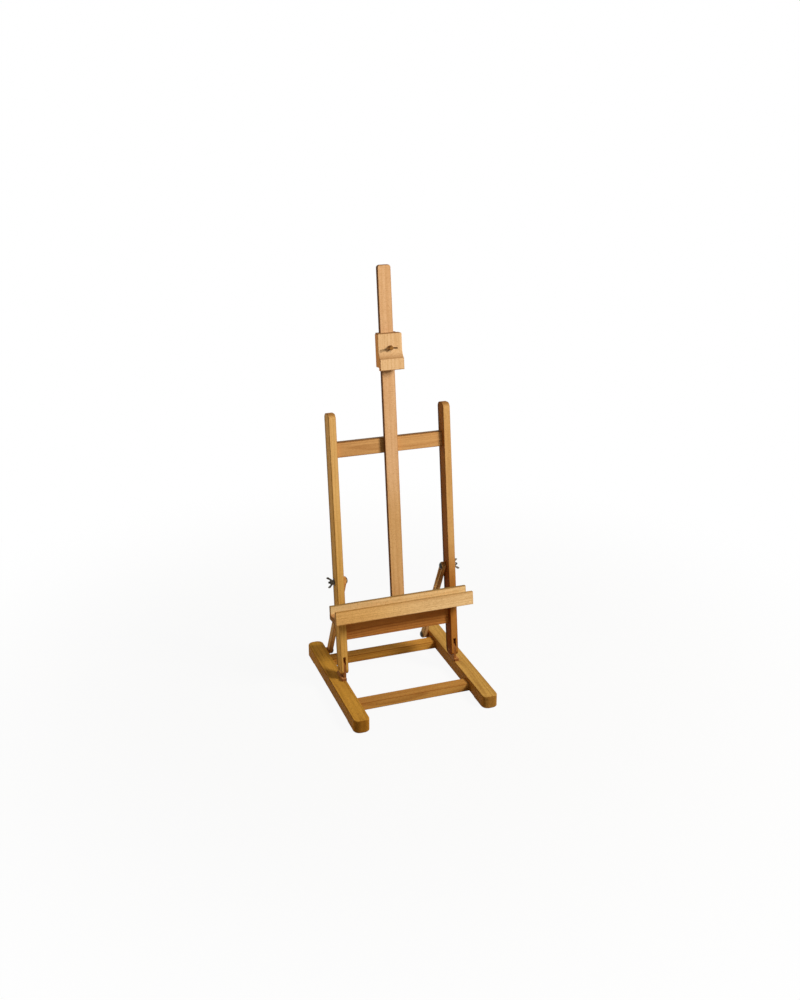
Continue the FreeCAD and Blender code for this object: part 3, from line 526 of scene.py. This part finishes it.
def joinPieces(pieces, name):
    selectOnly(pieces)
    if len(pieces) > 1:
        bpy.ops.object.join()
    pieces[0].name = name
    pieces[0].data.name = name
    return pieces[0]


def copyOf(piece):
    twin = piece.copy()
    twin.data = piece.data.copy()
    bpy.context.collection.objects.link(twin)
    return twin


def stand(piece, place, up, side):
    # the piece's own Z goes along up, and its X as near to side as it can
    up = up.normalized()
    side = (side - up * side.dot(up)).normalized()
    piece.matrix_world = Matrix.Translation(place) @ Matrix((side, up.cross(side), up)).transposed().to_4x4()
    selectOnly([piece])
    bpy.ops.object.transform_apply(location=True, rotation=True, scale=True)
    return piece


def installPiece(piece, node, metal):
    dress(piece, metals[metal])
    selectOnly([piece])
    bpy.ops.object.shade_smooth_by_angle(angle=smoothAngle)
    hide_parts(node)
    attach(piece, bodyOf[node])


def modelRing(look):
    # tapered disc with rounded rims; one with a bore is inset at both ends and bridged through
    bpy.ops.mesh.primitive_cone_add(vertices=40, radius1=look["baseRadius"], radius2=look["topRadius"],
                                    depth=look["height"], location=(0.0, 0.0, look["height"] / 2))
    ring = settle()
    pickFaces(ring, lambda middle, normal: abs(normal.z) > 0.99)
    bpy.ops.mesh.bevel(offset=look["rim"], segments=3, affect="EDGES")
    if not look["bore"]:
        return settle()
    for way, radius in ((-1, look["baseRadius"]), (1, look["topRadius"])):
        pickFaces(ring, lambda middle, normal: normal.z * way > 0.99)
        bpy.ops.mesh.inset(thickness=radius - look["rim"] - look["bore"], depth=0.0)
    pickFaces(ring, lambda middle, normal: abs(normal.z) > 0.99 and middle.xy.length < look["bore"] / 4)
    bpy.ops.mesh.bridge_edge_loops()
    return settle()


def modelThread(look, footShading, length):
    # helical ridge: a triangle standing on its edge, screwed up round the core
    bpy.ops.mesh.primitive_circle_add(vertices=3, radius=look["ridge"], fill_type="NOTHING",
                                      location=(look["radius"] - look["ridge"], 0.0, footShading + look["pitch"]),
                                      rotation=(math.pi / 2, math.pi / 2, 0.0))
    thread = settle()
    screw = thread.modifiers.new("helix", "SCREW")
    screw.axis = "Z"
    screw.steps = screw.render_steps = look["turnSteps"]
    screw.iterations = int(length / look["pitch"]) - 2
    screw.screw_offset = look["pitch"]
    applyModifiers(thread)
    bpy.ops.object.mode_set(mode="EDIT")
    bpy.ops.mesh.select_all(action="SELECT")
    bpy.ops.mesh.remove_doubles(threshold=0.000001)
    bpy.ops.mesh.fill_holes(sides=4)
    bpy.ops.mesh.select_all(action="SELECT")
    bpy.ops.mesh.normals_make_consistent(inside=False)
    return settle()


def modelShank(look, plain, threaded):
    # smooth stretch from the origin up, then the thread's thinner core and a chamfered tip
    bpy.ops.mesh.primitive_cylinder_add(vertices=36, radius=look["radius"], depth=plain,
                                        location=(0.0, 0.0, plain / 2))
    shank = settle()
    pickFaces(shank, lambda middle, normal: normal.z > 0.9)
    core = 1 - look["threadDepth"] / look["radius"]
    middle = pushOut((0.0, 0.0, plain), (0.0, 0.0, 0.0), (core, core, 1.0))
    middle = pushOut(middle, (0.0, 0.0, threaded - look["tip"]))
    pushOut(middle, (0.0, 0.0, look["tip"]), (look["tipTaper"], look["tipTaper"], 1.0))
    return settle()


def modelDomedBolt(look, plain, threaded):
    # the head's flat seat lies at the origin, with its dome below
    shank = modelShank(look, plain, threaded)
    pickFaces(shank, lambda middle, normal: normal.z < -0.9)
    wide = look["headRadius"] / look["radius"]
    middle = pushOut((0.0, 0.0, 0.0), (0.0, 0.0, 0.0), (wide, wide, 1.0))
    middle = pushOut(middle, (0.0, 0.0, -look["headRim"]))
    rise, width = look["headHeight"] - look["headRim"], 1.0
    quarterStep = math.pi / 2 / look["domeSteps"]
    for step in range(1, look["domeSteps"] + 1):
        angle = quarterStep * step
        down = rise * (math.sin(angle) - math.sin(angle - quarterStep))
        grow = max(math.cos(angle), look["domeTop"]) / width
        middle = pushOut(middle, (0.0, 0.0, -down), (grow, grow, 1.0))
        width *= grow
    return joinPieces([settle(), modelThread(look, plain, threaded)], "domedBolt")


def modelWing(look):
    # a thin block pushed outwards and upwards along the wing's outline, then rounded
    outline = look["outline"]
    reach, low, high = outline[0]
    root = look["rootLength"]
    bpy.ops.mesh.primitive_cube_add(size=1.0, location=(reach - root / 2, 0.0, (low + high) / 2))
    bpy.context.object.scale = (root, look["rootThickness"], high - low)
    wing = settle()
    pickFaces(wing, lambda middle, normal: normal.x > 0.9)
    middle, thickness = Vector((reach, 0.0, (low + high) / 2)), look["rootThickness"]
    for number, (nextReach, nextLow, nextHigh) in enumerate(outline[1:], 1):
        share = number / (len(outline) - 1)
        thinner = look["rootThickness"] * (1 - share) + look["tipThickness"] * share
        step = Vector((nextReach, 0.0, (nextLow + nextHigh) / 2)) - middle
        middle = pushOut(middle, step, (1.0, thinner / thickness, (nextHigh - nextLow) / (high - low)))
        thickness, low, high = thinner, nextLow, nextHigh
    wing = settle()
    soft = wing.modifiers.new("soft", "SUBSURF")
    soft.levels = soft.render_levels = look["rounding"]
    applyModifiers(wing)
    return wing


def modelWingedHub(look):
    # hub and wings run into each other, as cast in one
    wing = modelWing(look)
    twin = copyOf(wing)
    twin.rotation_euler.z = math.pi
    selectOnly([twin])
    settle()
    cast = joinPieces([modelRing(look), wing, twin], "wingedHub")
    melt = cast.modifiers.new("melt", "REMESH")
    melt.mode = "VOXEL"
    melt.voxel_size = look["voxel"]
    ease = cast.modifiers.new("ease", "SMOOTH")
    ease.factor = 0.5
    ease.iterations = look["easing"]
    applyModifiers(cast)
    return cast


def modelWoodScrew(look, length):
    # countersunk: the head's face lies at the origin and the point below
    radius, headRadius = look["radius"], look["headRadius"]
    headDepth = headRadius - radius
    plain = length * look["plainShare"]
    bpy.ops.mesh.primitive_cone_add(vertices=36, radius1=radius, radius2=headRadius, depth=headDepth,
                                    location=(0.0, 0.0, -headDepth / 2))
    screw = settle()
    pickFaces(screw, lambda middle, normal: normal.z < -0.9)
    core = 1 - look["threadDepth"] / radius
    point = radius * look["pointLength"]
    middle = pushOut((0.0, 0.0, -headDepth), (0.0, 0.0, -plain))
    middle = pushOut(middle, (0.0, 0.0, 0.0), (core, core, 1.0))
    middle = pushOut(middle, (0.0, 0.0, headDepth + plain + point - length))
    pushOut(middle, (0.0, 0.0, -point), (look["pointTip"], look["pointTip"], 1.0))
    screw = settle()
    slotLength, slotWidth, slotDepth = [headRadius * look[size] for size in ("slotLength", "slotWidth", "slotDepth")]
    for turned in (0, 1):
        bpy.ops.mesh.primitive_cube_add(size=1.0, rotation=(0.0, 0.0, turned * math.pi / 2))
        bpy.context.object.scale = (slotLength, slotWidth, slotDepth * 2)
        cutter = settle()
        pickFaces(cutter, lambda middle, normal: normal.z < -0.9)
        bpy.ops.transform.resize(value=(look["slotTaper"], look["slotTaper"], 1.0),
                                 center_override=(0.0, 0.0, -slotDepth))
        settle()
        recess = screw.modifiers.new("recess", "BOOLEAN")
        recess.operation = "DIFFERENCE"
        recess.solver = "EXACT"
        recess.object = cutter
        applyModifiers(screw)
        bpy.data.objects.remove(cutter, do_unlink=True)
    thread = modelThread(look, point - length, length - plain - headDepth - point)
    return joinPieces([screw, thread], "woodScrew")


def reachOf(name, way):
    # lowest and highest place of a node's vertices along a direction
    places = [vertex.co.dot(way) for vertex in nodes[name].data.vertices]
    return min(places), max(places)


def placeNuts():
    plain = modelWingedHub(wingLook)
    for side, sign in (("right", 1), ("left", -1)):
        node = "tilt_nut_" + side
        axis, centre = acrossWay * sign, jointPlace["tilt_nut_turn_" + side]
        spokes = [vertex.co - centre for vertex in nodes[node].data.vertices]
        spokes = [spoke - axis * spoke.dot(axis) for spoke in spokes]
        tipStart = max(spoke.length for spoke in spokes) * wingLook["tipShare"]
        upper = sum((spoke for spoke in spokes if spoke.length > tipStart and spoke.z > 0), Vector((0, 0, 0)))
        place = Vector((sign * reachOf(node, axis)[0], centre.y, centre.z))
        nut = stand(copyOf(plain), place, axis, upper)
        nut.name = nut.data.name = "wingNut" + side.capitalize()
        installPiece(nut, node, "castSteel")
    bpy.data.objects.remove(plain, do_unlink=True)


def placeBolts():
    # domed bolts stand in both halves of the frame, heads inwards
    for name, kit in boltSets.items():
        bolt = modelDomedBolt(boltLook, kit["plain"], kit["threaded"])
        pair = []
        inner = min(abs(vertex.co.x) for vertex in nodes[kit["node"]].data.vertices) + boltLook["headHeight"]
        for side, sign, piece in (("right", 1, bolt), ("left", -1, copyOf(bolt))):
            centre = jointPlace[kit["joint"] + side]
            pair.append(stand(piece, Vector((sign * inner, centre.y, centre.z)), acrossWay * sign, upWay))
        installPiece(joinPieces(pair, name), kit["node"], "darkSteel")


def placeWashers():
    # a washer's two flat ends are its only vertices across, a thickness apart
    for name, kit in washerSets.items():
        reaches = sorted({round(vertex.co.x, 4) for vertex in nodes[kit["node"]].data.vertices})
        starts = [reach for reach, above in zip(reaches, reaches[1:])
                  if abs(above - reach - washerLook["height"]) < 0.0001]
        centre = jointPlace[kit["joint"]]
        plain = modelRing(washerLook)
        stack = [stand(copyOf(plain), Vector((start, centre.y, centre.z)), acrossWay, upWay) for start in starts]
        bpy.data.objects.remove(plain, do_unlink=True)
        installPiece(joinPieces(stack, name), kit["node"], "washerSteel")


def screwSpots(kit):
    # a node's vertices fall into one group for each screw, seen along the screws' way
    way, groups = kit["way"], []
    for vertex in nodes[kit["node"]].data.vertices:
        flat = vertex.co - way * vertex.co.dot(way)
        for group in groups:
            if (group["start"] - flat).length < kit["headRadius"] * 2.2:
                break
        else:
            group = {"start": flat, "flats": [], "depths": []}
            groups.append(group)
        group["flats"].append(flat)
        group["depths"].append(vertex.co.dot(way))
    spots = []
    for group in groups:
        low = Vector([min(flat[axis] for flat in group["flats"]) for axis in range(3)])
        high = Vector([max(flat[axis] for flat in group["flats"]) for axis in range(3)])
        head, point = max(group["depths"]), min(group["depths"])
        spots.append(((low + high) / 2 + way * head, round(head - point, 5)))
    return spots


def placeWoodScrews():
    # one screw of each length is modelled, and copied to where the node has a head
    for name, kit in screwSets.items():
        look = dict(woodScrewLook, radius=kit["radius"], headRadius=kit["headRadius"])
        spots = screwSpots(kit)
        plain = {length: modelWoodScrew(look, length) for length in sorted({length for head, length in spots})}
        screws = [stand(copyOf(plain[length]), head, kit["way"], acrossWay + mastWay * kit["slant"])
                  for head, length in spots]
        for spare in plain.values():
            bpy.data.objects.remove(spare, do_unlink=True)
        installPiece(joinPieces(screws, name), kit["node"], "washerSteel")


def placeClampScrew(look):
    axis, centre = -panelBack, jointPlace["clamp_screw_turn"]
    low, high = reachOf("clamp_screw", axis)
    seat = centre + axis * (high - look["wingTop"] - centre.dot(axis))
    length = high - look["wingTop"] - low
    hub = stand(modelWingedHub(dict(wingLook, bore=0.0)), seat, axis, acrossWay)
    shank = stand(modelShank(boltLook, look["plain"], length - look["tipGap"]), seat + axis * look["inHub"], -axis,
                  acrossWay)
    thread = stand(modelThread(boltLook, look["plain"], length - look["threadGap"]), seat, -axis, acrossWay)
    installPiece(joinPieces([hub, shank, thread], "wingScrew"), "clamp_screw", "brass")
    face = reachOf("clamp_insert", axis)[1]
    mouth = centre + axis * (face - centre.dot(axis))
    insert = stand(modelRing(insertLook), mouth, -axis, acrossWay)
    installPiece(joinPieces([insert], "clampInsert"), "clamp_insert", "brass")


bodyOf = {node: body for body, members in frame["record"]["behaviour"]["bodies"].items() for node in members}
placeNuts()
placeBolts()
placeWashers()
placeWoodScrews()
placeClampScrew(clampScrewLook)
print("hardware modelled")


floorLook = {"size": 14.0, "colour": (188, 185, 178), "clearNear": 0.45, "clearFar": 1.5, "whiteNear": 0.93}
lampLooks = {
    "keyLamp": {"place": (1.50, -1.45, 1.75), "size": 0.9, "power": 69.0, "colour": (1.0, 0.95, 0.89)},
    "fillLamp": {"place": (-2.5, -0.6, 1.3), "size": 1.6, "power": 5.0, "colour": (1.0, 0.94, 0.86)},
    "backLamp": {"place": (-0.9, 2.2, 1.7), "size": 1.6, "power": 18.0, "colour": (1.0, 0.97, 0.94)},
}
roomLook = {"colour": (1.0, 0.85, 0.60), "strength": 0.115}
lampAim = (0.0, 0.0, 0.45)
cameraLook = {"azimuth": 19.70, "elevation": 16.42, "distance": 2.7307, "aim": (0.0025, 0.0, 0.7091),
              "lens": 43.21, "shift": -0.1}


def seenDirectly(tree):
    # 1 for rays straight from the camera, in a mirror or through glass
    rays = tree.nodes.new("ShaderNodeLightPath").outputs
    seen = mathNode(tree, "MAXIMUM", rays["Is Camera Ray"], rays["Is Glossy Ray"])
    return mathNode(tree, "MAXIMUM", seen, rays["Is Transmission Ray"])


def buildFloor(look):
    bpy.ops.mesh.primitive_plane_add(size=look["size"])
    floor = bpy.context.object
    floor.name = "studioFloor"
    material = bpy.data.materials.new("studioFloor")
    material.use_nodes = True
    tree = material.node_tree
    tree.nodes.remove(tree.nodes["Principled BSDF"])
    paper = tree.nodes.new("ShaderNodeBsdfDiffuse")
    paper.inputs["Color"].default_value = linearShade(look["colour"])
    white = tree.nodes.new("ShaderNodeEmission")
    place = tree.nodes.new("ShaderNodeTexCoord").outputs["Object"]
    away = vectorNode(tree, "LENGTH", place)
    clear = fadeNode(tree, away, look["clearNear"], look["clearFar"], look["whiteNear"], 1.0)
    mix = tree.nodes.new("ShaderNodeMixShader")
    tree.links.new(mathNode(tree, "MULTIPLY", clear, seenDirectly(tree)), mix.inputs[0])
    tree.links.new(paper.outputs[0], mix.inputs[1])
    tree.links.new(white.outputs[0], mix.inputs[2])
    tree.links.new(mix.outputs[0], tree.nodes["Material Output"].inputs["Surface"])
    dress(floor, material)


def buildRoom(look):
    world = bpy.data.worlds.new("studioRoom")
    bpy.context.scene.world = world
    world.use_nodes = True
    tree = world.node_tree
    soft = tree.nodes["Background"]
    soft.inputs["Color"].default_value = list(look["colour"]) + [1.0]
    soft.inputs["Strength"].default_value = look["strength"]
    white = tree.nodes.new("ShaderNodeBackground")
    white.inputs["Color"].default_value = (1.0, 1.0, 1.0, 1.0)
    mix = tree.nodes.new("ShaderNodeMixShader")
    tree.links.new(seenDirectly(tree), mix.inputs[0])
    tree.links.new(soft.outputs[0], mix.inputs[1])
    tree.links.new(white.outputs[0], mix.inputs[2])
    tree.links.new(mix.outputs[0], tree.nodes["World Output"].inputs["Surface"])


def buildLamp(name, look, aim):
    bpy.ops.object.light_add(type="AREA", location=look["place"])
    lamp = bpy.context.object
    lamp.name = name
    lamp.data.shape = "DISK"
    lamp.data.size = look["size"]
    lamp.data.energy = look["power"]
    lamp.data.color = look["colour"]
    lamp.rotation_euler = (Vector(aim) - lamp.location).to_track_quat("-Z", "Y").to_euler()


def buildCamera(look):
    azimuth, elevation = math.radians(look["azimuth"]), math.radians(look["elevation"])
    aim = Vector(look["aim"])
    back = Vector((-math.sin(azimuth) * math.cos(elevation), -math.cos(azimuth) * math.cos(elevation),
                   math.sin(elevation)))
    bpy.ops.object.camera_add(location=aim + back * look["distance"])
    camera = bpy.context.object
    camera.rotation_euler = (-back).to_track_quat("-Z", "Y").to_euler()
    camera.data.lens = look["lens"]
    camera.data.shift_y = look["shift"]
    bpy.context.scene.camera = camera


buildFloor(floorLook)
buildRoom(roomLook)
for name, look in lampLooks.items():
    buildLamp(name, look, lampAim)
buildCamera(cameraLook)
bpy.context.scene.view_settings.view_transform = "Standard"
print("floor, lamps and camera placed")
